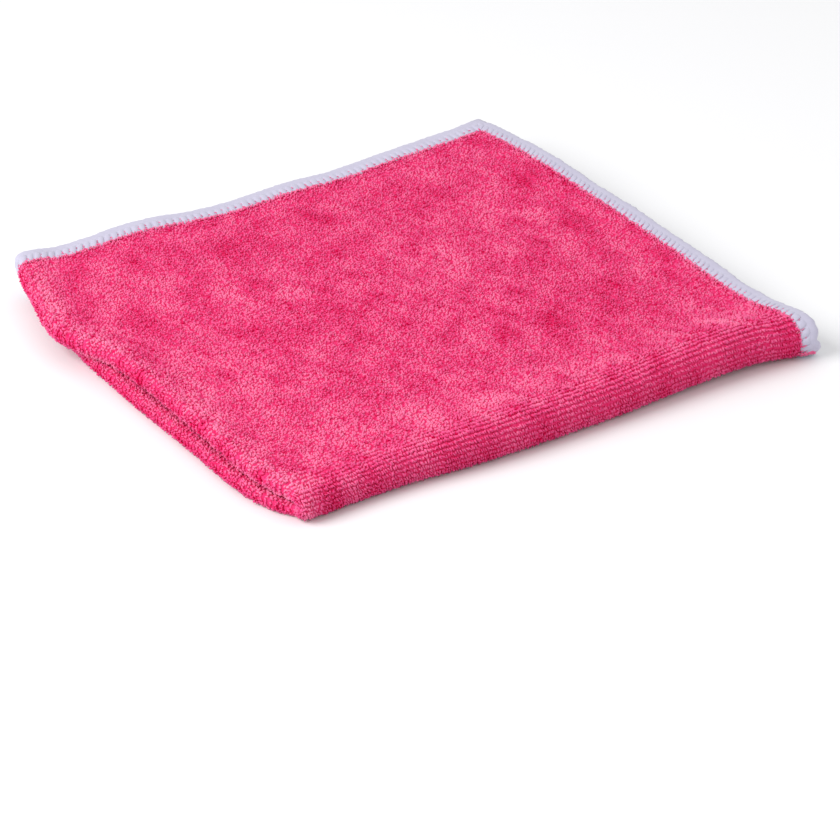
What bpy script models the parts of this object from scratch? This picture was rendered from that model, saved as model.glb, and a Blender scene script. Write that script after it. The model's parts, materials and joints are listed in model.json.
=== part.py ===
"""Square terry microfibre cleaning cloth, folded in half and then in half again.

The first fold runs along the left side and makes two pairs of layers, one over the other.
The second fold runs along the front and bends both pairs round together, so the middle of the
cloth is the front left corner. The overlocked edges lie open along the right side and the back.
The cloth rests on Z = 0, with X across the first fold and Y across the second.
"""

import math
from collections import namedtuple

import bpy
import numpy as np

MM = 0.001

# Sizes in millimetres
FOLDED_X = 207.0  # left fold to the open edges on the right
FOLDED_Y = 199.0  # front fold to the open edges at the back
SHEET = 2.3  # knitted ground with the pile of both faces
HEM = 2.6  # over the overlock thread along the raw edge
HEM_WIDTH = 6.0
HEM_FADE = 10.0  # the pile next to the hem is still pressed up by it over this far
LAYER_GAP = 0.5  # air between layers that lie on each other
NOSE_ROUND = 0.25  # share of a fold's puff by which its nose is blunter than a half circle

# How far from a fold its puff, its droop and its bow have died away
PUFF_REACH_LEFT = 9.0
PUFF_REACH_FRONT = 17.0
DROOP_REACH = 5.0
BOW_REACH = 70.0

# Mesh steps
LEFT_TURN_STEPS = 8
FRONT_TURN_STEPS = 12
FLAT_STEPS = 13
CLOSER_AT_FOLD = 1.4  # power that draws the flat steps together towards a fold
HEM_RINGS = (0.0, 0.35, 1.1, 3.5, 8.0)  # millimetres in from the raw edge
EDGE_ROUND = 1.1  # the raw edge is rounded over this far
EDGE_FLAT = 0.3  # share of the thickness left at the very edge

# Left fold, from the front corner back: how far inside the square each pair's fold lies, how
# much the pair puffs there, and how far the upper pair hangs down over the lower one
LeftFold = namedtuple("LeftFold", "y upper_in lower_in upper_puff lower_puff droop")
LEFT_FOLD = [
    LeftFold(0, 6.5, 7.5, 0.2, 0.2, 0.0),
    LeftFold(8, 4.4, 3.4, 0.4, 0.3, 0.0),
    LeftFold(22, 2.2, 0.4, 0.8, 0.6, 0.0),
    LeftFold(60, 2.0, -0.2, 1.2, 1.0, 0.0),
    LeftFold(95, 1.4, -1.0, 1.6, 1.2, 0.0),
    LeftFold(114, -0.4, -0.8, 1.8, 1.2, 0.1),
    LeftFold(128, -4.6, -0.7, 2.0, 1.0, 0.5),
    LeftFold(141, -6.6, 0.4, 2.0, 0.8, 0.9),
    LeftFold(155, -4.6, 2.2, 2.0, 0.6, 1.0),
    LeftFold(170, -0.8, 5.0, 2.0, 0.6, 0.9),
    LeftFold(187, 3.0, 8.6, 2.0, 0.6, 0.8),
    LeftFold(199, 6.8, 11.5, 2.0, 0.6, 0.8),
]

# Front fold, from the left corner to the right: the same, and how far its underside lifts
FrontFold = namedtuple("FrontFold", "x fold_in puff lift")
FRONT_FOLD = [
    FrontFold(0, 1.5, 0.0, 0.0),
    FrontFold(20, 2.4, 0.3, 0.0),
    FrontFold(40, 2.4, 1.2, 0.0),
    FrontFold(58, 0.9, 2.2, 0.0),
    FrontFold(80, -0.2, 3.0, 0.0),
    FrontFold(125, 0.0, 3.6, 0.2),
    FrontFold(152, 0.9, 4.2, 1.0),
    FrontFold(182, 0.9, 4.2, 1.7),
    FrontFold(198, -0.6, 3.6, 0.4),
    FrontFold(207, -2.2, 3.4, 0.0),
]

# Open edges, from the front or the left: how far each layer's edge stands out past the square
OpenEdge = namedtuple("OpenEdge", "along outer_top inner_top inner_bottom outer_bottom")
RIGHT_EDGE = [
    OpenEdge(0, 0.6, -1.6, -1.2, 1.2),
    OpenEdge(15, -2.0, -3.2, -2.6, -0.8),
    OpenEdge(30, -2.0, -3.4, -1.4, -1.8),
    OpenEdge(50, -0.6, -2.4, -0.4, -1.9),
    OpenEdge(75, 1.2, -1.0, -0.6, 0.4),
    OpenEdge(115, 2.4, 0.2, -0.9, 1.0),
    OpenEdge(165, 2.4, 0.6, 1.2, -0.4),
    OpenEdge(188, 0.0, -1.4, 0.2, -1.6),
    OpenEdge(199, -1.8, -3.0, -1.4, -2.6),
]
BACK_EDGE = [
    OpenEdge(0, 1.5, 0.6, -2.6, -3.2),
    OpenEdge(22, -2.2, -3.0, -2.4, -3.6),
    OpenEdge(52, -0.7, -2.4, -0.9, -2.2),
    OpenEdge(85, -2.4, -3.4, -1.0, -0.6),
    OpenEdge(118, -0.9, -2.6, -2.2, 0.2),
    OpenEdge(134, -1.2, -2.4, -2.6, -0.4),
    OpenEdge(160, 0.1, -1.6, -0.6, -1.2),
    OpenEdge(190, 0.4, -1.0, -1.6, -0.8),
    OpenEdge(207, 2.6, 1.0, 0.0, 0.8),
]

# Where the upper pair stands off the lower one
Rise = namedtuple("Rise", "x y reach height")
RISES = [
    Rise(205, 197, 40, 3.4),
    Rise(6, 197, 28, 2.0),
    Rise(0, 150, 24, 0.9),
    Rise(60, 199, 26, 1.2),
    Rise(112, 199, 26, 1.0),
    Rise(162, 199, 24, 1.0),
    Rise(207, 148, 26, 2.0),
    Rise(207, 105, 26, 1.8),
    Rise(207, 60, 22, 1.2),
    Rise(72, 118, 36, 0.6),
    Rise(140, 88, 32, 0.5),
    Rise(52, 44, 26, 0.4),
]

# Steps along one side of the cut: how far past the fold's turn, from 0 to 1, the distance to the
# raw edge, and the turn's angle, which is 90 degrees on one half and -90 on the other
Station = namedtuple("Station", "flat edge turn")


def clear_scene():
    for obj in list(bpy.data.objects):
        bpy.data.objects.remove(obj, do_unlink=True)


def along_table(rows, key, column, at):
    """A column of a table at any place, on a smooth curve through its rows."""
    places = [getattr(row, key) for row in rows]
    values = [getattr(row, column) for row in rows]
    at = min(max(at, places[0]), places[-1])
    last = len(places) - 2
    i = min(sum(place <= at for place in places[1:]), last)
    span = places[i + 1] - places[i]
    share = (at - places[i]) / span

    def slope(k):
        if k in (0, len(places) - 1):
            return 0.0
        return (values[k + 1] - values[k - 1]) / (places[k + 1] - places[k - 1])

    square = share * share
    cube = square * share
    return (
        (2 * cube - 3 * square + 1) * values[i]
        + (cube - 2 * square + share) * span * slope(i)
        + (3 * square - 2 * cube) * values[i + 1]
        + (cube - square) * span * slope(i + 1)
    )


def fade(distance, reach):
    return math.exp(-((distance / reach) ** 2))


def mix(low, high, share):
    return low + (high - low) * share


def smooth_step(share):
    share = min(max(share, 0.0), 1.0)
    return share * share * (3 - 2 * share)


def stations(folded, turn_steps):
    """Stations from the raw edge of one half, round the fold's turn, to the raw edge of the other."""
    flat_end = 1.0 - HEM_RINGS[-1] / folded
    half = [Station(1.0 - ring / folded, ring, 90.0) for ring in HEM_RINGS]
    for i in range(1, FLAT_STEPS + 1):
        flat = flat_end * (1.0 - i / FLAT_STEPS) ** CLOSER_AT_FOLD
        half.append(Station(flat, folded * (1.0 - flat), 90.0))
    turn = [
        Station(0.0, folded, 90.0 - 180.0 * i / turn_steps) for i in range(1, turn_steps)
    ]
    other_half = [station._replace(turn=-90.0) for station in reversed(half)]
    return half + turn + other_half


def hem_half_thickness(edge):
    """Half the layer's thickness at a distance from its raw edge, before the edge is rounded."""
    past_hem = smooth_step((edge - HEM_WIDTH) / HEM_FADE)
    return mix(HEM, SHEET, past_hem) / 2


def edge_rounding(edge):
    """Share of the thickness left where the raw edge rounds off."""
    share = min(edge / EDGE_ROUND, 1.0)
    return mix(EDGE_FLAT, 1.0, math.sqrt(1 - (1 - share) ** 2))


def layer_share(row, outer, top):
    """Mixes the four layers' values: outer and top run from -1 to 1."""
    top_value = mix(row.inner_top, row.outer_top, (1 + outer) / 2)
    bottom_value = mix(row.inner_bottom, row.outer_bottom, (1 + outer) / 2)
    return mix(bottom_value, top_value, (1 + top) / 2)


def open_edge(rows, along, outer, top):
    """How far the raw edge stands out past the square there."""
    values = {
        column: along_table(rows, "along", column, along) for column in OpenEdge._fields[1:]
    }
    return layer_share(OpenEdge(along=along, **values), outer, top)


def pair_gap(x, y, top):
    """Air between the two layers of a pair, which puffs at the left fold."""
    upper = along_table(LEFT_FOLD, "y", "upper_puff", y)
    lower = along_table(LEFT_FOLD, "y", "lower_puff", y)
    return LAYER_GAP + mix(lower, upper, (1 + top) / 2) * fade(x, PUFF_REACH_LEFT)


def middle_gap(x, y):
    """Air between the upper and the lower pair."""
    puff = along_table(FRONT_FOLD, "x", "puff", x) * fade(y, PUFF_REACH_FRONT)
    risen = sum(
        rise.height * fade(math.hypot(x - rise.x, y - rise.y), rise.reach) for rise in RISES
    )
    return LAYER_GAP + puff + risen


def sheet_point(across, along, side):
    """One point of the cloth's face: side is 1 on the face outside the first fold, -1 inside it."""
    phi = math.radians(across.turn)
    theta = math.radians(along.turn)
    outer, top = math.sin(phi), math.sin(theta)
    x_flat = across.flat * FOLDED_X
    y_flat = along.flat * FOLDED_Y
    x_place = x_flat + across.flat * open_edge(RIGHT_EDGE, y_flat, outer, top)
    y_place = y_flat + along.flat * open_edge(BACK_EDGE, x_flat, outer, top)
    edge = min(across.edge, along.edge)
    half = hem_half_thickness(edge)

    gap = pair_gap(x_place, y_place, top)
    low_gap = pair_gap(x_place, y_place, -1.0)
    spread = half + gap / 2
    low_spread = half + low_gap / 2
    between = middle_gap(x_place, y_place)
    bend = half + between / 2 + spread
    low_bend = half + between / 2 + low_spread
    centre_height = low_bend + low_spread + half

    nose_x = spread - NOSE_ROUND * (gap - LAYER_GAP)
    nose_bend = bend - NOSE_ROUND * (between - LAYER_GAP)
    turn_x = nose_x + half
    turn_y = nose_bend + spread + half

    offset = spread * outer
    x = x_place + (1.0 - across.flat) * turn_x - nose_x * math.cos(phi)
    y = y_place + (1.0 - along.flat) * turn_y - (nose_bend + offset) * math.cos(theta)
    z = centre_height + (bend + offset) * top

    upper_in = along_table(LEFT_FOLD, "y", "upper_in", y_place)
    lower_in = along_table(LEFT_FOLD, "y", "lower_in", y_place)
    x += mix(lower_in, upper_in, (1 + top) / 2) * fade(x_place, BOW_REACH)
    y += along_table(FRONT_FOLD, "x", "fold_in", x_place) * fade(y_place, BOW_REACH)
    z += along_table(FRONT_FOLD, "x", "lift", x_place) * fade(y_place, PUFF_REACH_FRONT)
    droop = along_table(LEFT_FOLD, "y", "droop", y_place) * fade(x_place, DROOP_REACH)
    z -= droop * (1 + top) / 2

    thick = side * half * edge_rounding(edge)
    x -= thick * math.cos(phi)
    y -= thick * math.sin(phi) * math.cos(theta)
    z += thick * math.sin(phi) * math.sin(theta)
    return x, y, z


def grid_faces(rows, columns, start, flip):
    """Triangles whose diagonals run the same way in all four layers, so that they lie alike."""
    faces = []
    for i in range(rows - 1):
        for j in range(columns - 1):
            a = start + i * columns + j
            b, c, d = a + columns, a + columns + 1, a + 1
            if (2 * i < rows - 1) == (2 * j < columns - 1):
                pair = [(a, b, c), (a, c, d)]
            else:
                pair = [(b, c, d), (b, d, a)]
            faces += [corners[::-1] if flip else corners for corners in pair]
    return faces


def rim_faces(rows, columns, start_inside):
    """Joins the two faces of the cloth round its raw edge."""
    ring = list(range(columns))
    ring += [i * columns + columns - 1 for i in range(1, rows)]
    ring += [(rows - 1) * columns + j for j in range(columns - 2, -1, -1)]
    ring += [i * columns for i in range(rows - 2, 0, -1)]
    faces = []
    for k, here in enumerate(ring):
        following = ring[(k + 1) % len(ring)]
        faces.append((here, following, start_inside + following, start_inside + here))
    return faces


def folded_cloth():
    across = stations(FOLDED_X, LEFT_TURN_STEPS)
    along = stations(FOLDED_Y, FRONT_TURN_STEPS)
    points = [sheet_point(u, v, side) for side in (1, -1) for u in across for v in along]
    points = np.array(points)
    low, high = points.min(axis=0), points.max(axis=0)
    points -= ((low[0] + high[0]) / 2, (low[1] + high[1]) / 2, low[2])
    rows, columns = len(across), len(along)
    inside = rows * columns
    faces = grid_faces(rows, columns, 0, False)
    faces += grid_faces(rows, columns, inside, True)
    faces += rim_faces(rows, columns, inside)
    mesh = bpy.data.meshes.new("cloth")
    mesh.from_pydata((points * MM).tolist(), [], faces)
    mesh.validate()
    mesh.shade_smooth()
    obj = bpy.data.objects.new("cloth", mesh)
    bpy.context.scene.collection.objects.link(obj)
    return obj


def terry_material():
    material = bpy.data.materials.new("pink_terry")
    material.use_nodes = True
    shader = material.node_tree.nodes["Principled BSDF"]
    shader.inputs["Base Color"].default_value = (0.80, 0.055, 0.19, 1.0)
    shader.inputs["Roughness"].default_value = 0.95
    shader.inputs["Metallic"].default_value = 0.0
    return material


def build():
    clear_scene()
    cloth = folded_cloth()
    cloth.data.materials.append(terry_material())


build()
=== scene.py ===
"""Square terry microfibre cleaning cloth, folded in quarters: its ground, pile and overlocked edges.

The knitted ground is one folded sheet. Loops of pile stand on the faces that show, in rows where
the folds stretch them open and brushed about on the flat. Overlock stitches wrap the raw edges.
Lengths are in millimetres until a mesh is made.
"""

import json
import math
from collections import namedtuple

import bpy
import numpy as np
from mathutils import Matrix, Vector

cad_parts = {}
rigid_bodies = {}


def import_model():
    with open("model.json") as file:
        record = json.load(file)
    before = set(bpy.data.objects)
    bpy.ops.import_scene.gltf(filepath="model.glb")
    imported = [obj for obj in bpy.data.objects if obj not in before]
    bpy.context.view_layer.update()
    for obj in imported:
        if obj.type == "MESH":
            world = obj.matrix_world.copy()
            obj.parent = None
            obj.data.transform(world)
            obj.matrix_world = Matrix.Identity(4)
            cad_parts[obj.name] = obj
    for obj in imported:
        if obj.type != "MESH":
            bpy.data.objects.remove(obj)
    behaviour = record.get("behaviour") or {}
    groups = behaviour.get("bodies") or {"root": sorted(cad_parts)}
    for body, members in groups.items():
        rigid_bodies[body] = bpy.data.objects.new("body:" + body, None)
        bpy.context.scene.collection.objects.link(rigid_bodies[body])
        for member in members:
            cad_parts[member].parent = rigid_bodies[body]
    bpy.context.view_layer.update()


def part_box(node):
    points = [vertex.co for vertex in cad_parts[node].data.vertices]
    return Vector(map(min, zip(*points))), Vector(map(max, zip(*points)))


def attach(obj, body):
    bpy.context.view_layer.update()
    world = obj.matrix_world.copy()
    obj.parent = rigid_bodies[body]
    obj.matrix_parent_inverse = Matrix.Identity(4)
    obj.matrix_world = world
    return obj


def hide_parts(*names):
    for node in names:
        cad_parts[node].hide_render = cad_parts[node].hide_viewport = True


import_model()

MM = 0.001
SEED = 4
RIPPLES = 20  # waves that one smooth noise is made of

# The folded cloth, as its solid has it but for two of its corners: the left back one lies a little
# lower, and the right edge runs straighter into the front one
FOLDED_X = 207.0  # left fold to the open edges on the right
FOLDED_Y = 199.0  # front fold to the open edges at the back
SHEET = 2.3  # knitted ground with the pile of both faces
HEM = 2.6  # over the overlock thread along the raw edge
HEM_WIDTH = 6.0
HEM_FADE = 10.0  # the pile next to the hem is still pressed up by it over this far
LAYER_GAP = 0.5  # air between layers that lie on each other
NOSE_ROUND = 0.25  # share of a fold's puff by which its nose is blunter than a half circle

# How far from a fold its puff, its droop and its bow have died away
PUFF_REACH_LEFT = 9.0
PUFF_REACH_FRONT = 17.0
DROOP_REACH = 5.0
BOW_REACH = 70.0

# Left fold, from the front corner back: how far inside the square each pair's fold lies, how
# much the pair puffs there, and how far the upper pair hangs down over the lower one
LeftFold = namedtuple("LeftFold", "y upper_in lower_in upper_puff lower_puff droop")
LEFT_FOLD = [
    LeftFold(0, 6.5, 7.5, 0.2, 0.2, 0.0),
    LeftFold(8, 4.4, 3.4, 0.4, 0.3, 0.0),
    LeftFold(22, 2.2, 0.4, 0.8, 0.6, 0.0),
    LeftFold(60, 2.0, -0.2, 1.2, 1.0, 0.0),
    LeftFold(95, 1.4, -1.0, 1.6, 1.2, 0.0),
    LeftFold(114, -0.4, -0.8, 1.8, 1.2, 0.1),
    LeftFold(128, -4.6, -0.7, 2.0, 1.0, 0.5),
    LeftFold(141, -6.6, 0.4, 2.0, 0.8, 0.9),
    LeftFold(155, -4.6, 2.2, 2.0, 0.6, 1.0),
    LeftFold(170, -0.8, 5.0, 2.0, 0.6, 0.9),
    LeftFold(187, 3.0, 8.6, 2.0, 0.6, 0.8),
    LeftFold(199, 6.0, 11.5, 2.0, 0.6, 0.8),
]

# Front fold, from the left corner to the right: the same, and how far its underside lifts
FrontFold = namedtuple("FrontFold", "x fold_in puff lift")
FRONT_FOLD = [
    FrontFold(0, 1.5, 0.0, 0.0),
    FrontFold(20, 2.4, 0.3, 0.0),
    FrontFold(40, 2.4, 1.2, 0.0),
    FrontFold(58, 0.9, 2.2, 0.0),
    FrontFold(80, -0.2, 3.0, 0.0),
    FrontFold(125, 0.0, 3.6, 0.2),
    FrontFold(152, 0.9, 4.2, 1.0),
    FrontFold(182, 0.9, 4.2, 1.7),
    FrontFold(198, -0.6, 3.6, 0.4),
    FrontFold(207, -2.2, 3.4, 0.0),
]

# Open edges, from the front or the left: how far each layer's edge stands out past the square
OpenEdge = namedtuple("OpenEdge", "along outer_top inner_top inner_bottom outer_bottom")
RIGHT_EDGE = [
    OpenEdge(0, -1.6, -2.7, -1.2, 1.2),
    OpenEdge(15, -1.1, -2.5, -2.6, -0.8),
    OpenEdge(30, -0.8, -2.6, -1.4, -1.8),
    OpenEdge(50, -0.2, -2.1, -0.4, -1.9),
    OpenEdge(75, 1.2, -1.0, -0.6, 0.4),
    OpenEdge(115, 2.4, 0.2, -0.9, 1.0),
    OpenEdge(165, 2.4, 0.6, 1.2, -0.4),
    OpenEdge(188, 0.0, -1.4, 0.2, -1.6),
    OpenEdge(199, -1.8, -3.0, -1.4, -2.6),
]
BACK_EDGE = [
    OpenEdge(0, -0.6, -1.0, -2.6, -3.2),
    OpenEdge(22, -1.2, -2.2, -2.4, -3.6),
    OpenEdge(52, -0.7, -2.4, -0.9, -2.2),
    OpenEdge(85, -2.4, -3.4, -1.0, -0.6),
    OpenEdge(118, -0.9, -2.6, -2.2, 0.2),
    OpenEdge(134, -1.2, -2.4, -2.6, -0.4),
    OpenEdge(160, 0.1, -1.6, -0.6, -1.2),
    OpenEdge(190, 0.4, -1.0, -1.6, -0.8),
    OpenEdge(207, 2.6, 1.0, 0.0, 0.8),
]

# Where the upper pair stands off the lower one
Rise = namedtuple("Rise", "x y reach height")
RISES = [
    Rise(205, 197, 40, 3.4),
    Rise(2, 199, 20, 0.3),
    Rise(0, 150, 24, 0.9),
    Rise(46, 199, 26, 2.1),
    Rise(112, 199, 26, 1.0),
    Rise(162, 199, 24, 1.0),
    Rise(207, 148, 26, 2.0),
    Rise(207, 105, 26, 1.8),
    Rise(207, 60, 22, 1.2),
    Rise(72, 118, 36, 0.6),
    Rise(140, 88, 32, 0.5),
    Rise(52, 44, 26, 0.4),
]

# Ground
GROUND_PILE = 0.6  # depth of the pile on each face, which the ground leaves to its loops
GROUND_STEP = 4.0
GROUND_TURN_STEPS = (14, 22)  # left fold, front fold
HEM_RINGS = (0.0, 0.35, 1.1, 3.5, 8.0)  # its lines of points next to the edge, so far in from it
GROUND_INSET = 1.3  # the ground ends this far inside the thread
EDGE_ROUND = 1.1  # the raw edge is rounded over this far
EDGE_FLAT = 0.3  # share of the thickness left at the very edge

# Where the stiff hem pinches as it goes round the front fold
PINCH_AT, PINCH_REACH, PINCH_DEPTH = 4.0, 15.0, 1.6  # degrees round the turn, and millimetres

# Pile
WALE = 0.9  # from one loop to the next along a row
HALF_ROW = 1.05  # half the way from one row to the next
UNDERSIDE_WALE = 1.4
FIRST_WALE, FIRST_ROW = 0.6, 0.5  # from the folds
PILE_STOPS = {"right": 7.0, "back": 8.2}  # from each raw edge, at the inner border of its overlock
ROOT_DEPTH = 0.75  # how far under the cloth's face the loops' roots lie
ORDER_REACH_FRONT = 7.0  # how far from a fold its rows of loops fade into brushed pile
ORDER_REACH_LEFT = 3.0
LEFT_ORDER = 0.45  # the left fold's rows are less regular than the front fold's
ROW_SLANT = 0.28  # radians by which the loops of a row lean over along it
CREASE_DEPTH, CREASE_MOUTH = 7.0, 0.3  # the pile goes this far into the crease between the pairs
FRONT_TURN_ROWS, LEFT_TURN_ROWS = 22, 10
LEFT_TURN = 85  # degrees to each side that the left fold's own rows go round
ROWS_END = (2.2, 14.0)  # depth and size of the waves along which the front fold's rows end
ODD_ROWS_THIN = 1.3  # how fast every other row thins out towards the regular rows
CLUMP_SIZE, CLUMP_STRAY = 4.0, 0.28  # brushed loops stray together in clumps
PRESSED = 0.3  # thickness of the layer that is pressed flat on the floor

# A loop's length, width and height, how far it strays, and by how many radians it turns and leans
Loop = namedtuple("Loop", "length width height stray turn lean")
IN_ROWS = Loop(1.80, 0.90, 1.05, 0.20, 0.34, 0.16)
BRUSHED = Loop(1.14, 0.80, 0.86, 0.46, 1.74, 0.28)
LENGTH_VARIES, WIDTH_VARIES, HEIGHT_VARIES = (0.75, 1.3), (0.8, 1.25), (0.7, 1.25)
RAISED_WIDER, RAISED_LOWER = 0.08, 0.05  # a loop of raised nap against the others

# Where the nap is brushed up, which is paler and hazier, or pressed down, which is deeper
Nap = namedtuple("Nap", "x y reach raised")
NAPS = [
    Nap(3, 5, 8, 0.8),
    Nap(30, 24, 13, 0.9),
    Nap(60, 17, 12, 1.0),
    Nap(84, 14, 10, 1.0),
    Nap(104, 16, 9, 0.7),
    Nap(126, 13, 10, 0.7),
    Nap(184, 13, 12, 0.6),
    Nap(20, 66, 18, 0.6),
    Nap(22, 96, 12, 0.6),
    Nap(33, 157, 13, 0.7),
    Nap(62, 120, 10, 0.5),
    Nap(131, 110, 15, 0.6),
    Nap(162, 141, 10, 0.6),
    Nap(164, 175, 9, 0.5),
    Nap(172, 127, 8, 0.4),
    Nap(76, 165, 10, -1.2),
    Nap(101, 141, 7, -0.9),
    Nap(109, 170, 9, -0.7),
    Nap(48, 170, 8, -0.8),
    Nap(150, 160, 10, -0.7),
    Nap(195, 146, 10, -1.0),
    Nap(186, 110, 8, -0.7),
    Nap(50, 100, 9, -0.8),
    Nap(75, 98, 11, -0.8),
    Nap(26, 124, 9, -0.6),
    Nap(9, 105, 7, -0.8),
    Nap(59, 47, 6, -0.7),
    Nap(150, 92, 8, -0.7),
    Nap(134, 52, 13, -0.8),
    Nap(164, 54, 12, -0.8),
]

NAP_WAVES = [(16.0, 0.30), (6.0, 0.22)]  # sizes and heights of its smaller ups and downs
PARTED_SIZES, PARTED_FROM, PARTED_SHADE = (3.2, 2.6), 1.1, 1.6  # spots where the pile parts, painted deeper pink as the shade in them
RIDGE_IN, RIDGE_REACH, RIDGE_NAP_AND_HIGHLIGHT = 2.0, 3.6, 0.7  # the left fold's ridge, paler by raised nap and a painted highlight
RIDGE_WAVES = (2.4, 0.5)
FLANK_AT, FLANK_REACH, FLANK_SHADE = 5.0, 36.0, 1.5  # degrees round it: its flank is painted deeper pink as shade
LEFT_FOLD_NAP_AND_HIGHLIGHT = (0.35, 0.15)  # paler round the fold of the lower and of the upper pair, by raised nap and a painted highlight
FRONT_FOLD_SHADE = (-0.65, -0.15)  # painted shade at the front fold's foot and at its top
HIDDEN_WAVES = (12.0, 0.3)  # size and height of the other faces' ups and downs

# Overlock
EDGE_FROM, EDGE_STEPS, EDGE_TURN_STEPS = 1.0, 400, 91  # how finely a raw edge is measured
STITCH_PITCH = 2.7
OVERLOCK_WIDTH = {"right": 7.2, "back": 8.6}
THREAD_THICK = 0.55
RIGHT_SLANT, BACK_SLANT = 0.42, 0.14  # how far the stitches lean along the edge, per length
SLANT_FROM = 4.0  # this far in from the edge a leaning stitch is on its own step
BED_STEP = 0.9
BED_WAVES = (5.0, 15.0)  # sizes of the outline's swells
BED_WAVE_DEPTH, BED_WAVE_REACH = 0.13, 4.0  # they fade this far in from the edge
WRAP_DEPTH, WRAP_REACH = 0.07, 5.0  # each stitch's thread stands out where it goes round the edge
BORDER_FIBRES = 0.5  # from one fibre to the next along the overlock's inner border
TUFT_AT = 211.3  # along the right edge from its back corner
TUFT_REACH, TUFT_SPREAD, TUFT_FIBRES = (2.2, 7.2), 1.3, 34
GROOVE_FIBRES = [(0.66, 0.84), (0.82, 1.0)]  # in a groove, as shares of the overlock's width
GROOVES_FILLED = 0.7  # share of the grooves that have each of these
BORDER_STRAY = 0.40
# How high fibres lie on the hem, of half its thickness, and how thick they are, of the usual
Fibres = namedtuple("Fibres", "high thick")
IN_BORDER, IN_GROOVES, IN_TUFT = Fibres(0.66, 1.3), Fibres(0.98, 0.55), Fibres(1.1, 1.1)
FIBRE_LENGTH, FIBRE_WIDTH, FIBRE_HEIGHT = (0.7, 1.7), (0.3, 0.6), (0.35, 0.6)
FIBRE_TURN, FIBRE_NAP = 0.35, (0.4, 1.4)
# How much each stitch's length, width and height vary, as shares of them
REACH_VARIES, WIDE_VARIES, HIGH_VARIES = (0.95, 1.03), (0.92, 1.06), (0.97, 1.03)

# A line of places over the cut, across one fold: how far past the fold's turn each lies, from 0 to
# 1, its distance from the raw edge, and the turn's angle, 90 on one half and -90 on the other
Line = namedtuple("Line", "flat edge turn")


def along_table(rows, column, at):
    """A column of a table at any places along its first one, on a smooth curve through its rows."""
    places = np.array([row[0] for row in rows], float)
    values = np.array([getattr(row, column) for row in rows], float)
    slopes = np.zeros(len(values))
    slopes[1:-1] = (values[2:] - values[:-2]) / (places[2:] - places[:-2])
    at = np.clip(at, places[0], places[-1])
    i = np.clip(np.searchsorted(places, at, side="right") - 1, 0, len(places) - 2)
    span = places[i + 1] - places[i]
    share = (at - places[i]) / span
    square = share * share
    cube = square * share
    return (
        (2 * cube - 3 * square + 1) * values[i]
        + (cube - 2 * square + share) * span * slopes[i]
        + (3 * square - 2 * cube) * values[i + 1]
        + (cube - square) * span * slopes[i + 1]
    )


def fade(distance, reach):
    return np.exp(-((distance / reach) ** 2))


def mix(low, high, share):
    return low + (high - low) * share


def smooth_step(share):
    share = np.clip(share, 0.0, 1.0)
    return share * share * (3 - 2 * share)


def half_thickness(across, along):
    """Half the layer's thickness at its distance from the raw edge, before that is rounded."""
    edge = np.minimum(across.edge, along.edge)
    return mix(HEM, SHEET, smooth_step((edge - HEM_WIDTH) / HEM_FADE)) / 2


def open_edge(rows, along, outer, top):
    """How far the raw edge stands out past the square there."""
    value = {name: along_table(rows, name, along) for name in OpenEdge._fields[1:]}
    upper = mix(value["inner_top"], value["outer_top"], (1 + outer) / 2)
    lower = mix(value["inner_bottom"], value["outer_bottom"], (1 + outer) / 2)
    return mix(lower, upper, (1 + top) / 2)


def pair_gap(x, y, top):
    """Air between the two layers of a pair, which puffs at the left fold."""
    upper = along_table(LEFT_FOLD, "upper_puff", y)
    lower = along_table(LEFT_FOLD, "lower_puff", y)
    return LAYER_GAP + mix(lower, upper, (1 + top) / 2) * fade(x, PUFF_REACH_LEFT)


def middle_gap(x, y):
    """Air between the upper and the lower pair."""
    puff = along_table(FRONT_FOLD, "puff", x) * fade(y, PUFF_REACH_FRONT)
    risen = sum(rise.height * fade(np.hypot(x - rise.x, y - rise.y), rise.reach) for rise in RISES)
    return LAYER_GAP + puff + risen


def folded(across, along, depth):
    """Places in the folded cloth. depth is how far off the middle of its thickness each lies,
    towards the face outside the first fold where it is positive."""
    phi, theta = np.radians(across.turn), np.radians(along.turn)
    outer, top = np.sin(phi), np.sin(theta)
    x_flat, y_flat = across.flat * FOLDED_X, along.flat * FOLDED_Y
    x_place = x_flat + across.flat * open_edge(RIGHT_EDGE, y_flat, outer, top)
    y_place = y_flat + along.flat * open_edge(BACK_EDGE, x_flat, outer, top)
    half = half_thickness(across, along)

    gap = pair_gap(x_place, y_place, top)
    spread = half + gap / 2
    low_spread = half + pair_gap(x_place, y_place, -1.0) / 2
    between = middle_gap(x_place, y_place)
    bend = half + between / 2 + spread
    centre_height = 2 * half + between / 2 + 2 * low_spread

    nose_x = spread - NOSE_ROUND * (gap - LAYER_GAP)
    nose_bend = bend - NOSE_ROUND * (between - LAYER_GAP)
    turn_x = nose_x + half
    turn_y = nose_bend + spread + half
    offset = spread * outer
    x = x_place + (1 - across.flat) * turn_x - nose_x * np.cos(phi)
    y = y_place + (1 - along.flat) * turn_y - (nose_bend + offset) * np.cos(theta)
    z = centre_height + (bend + offset) * top

    upper_in = along_table(LEFT_FOLD, "upper_in", y_place)
    lower_in = along_table(LEFT_FOLD, "lower_in", y_place)
    x = x + mix(lower_in, upper_in, (1 + top) / 2) * fade(x_place, BOW_REACH)
    y = y + along_table(FRONT_FOLD, "fold_in", x_place) * fade(y_place, BOW_REACH)
    z = z + along_table(FRONT_FOLD, "lift", x_place) * fade(y_place, PUFF_REACH_FRONT)
    droop = along_table(LEFT_FOLD, "droop", y_place) * fade(x_place, DROOP_REACH)
    z = z - droop * (1 + top) / 2
    x = x - PINCH_DEPTH * fade(along.turn - PINCH_AT, PINCH_REACH) * fade(across.edge, HEM_WIDTH)

    x = x - depth * np.cos(phi)
    y = y - depth * np.sin(phi) * np.cos(theta)
    z = z + depth * np.sin(phi) * np.sin(theta)
    return np.stack(np.broadcast_arrays(x, y, z), axis=-1)


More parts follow.
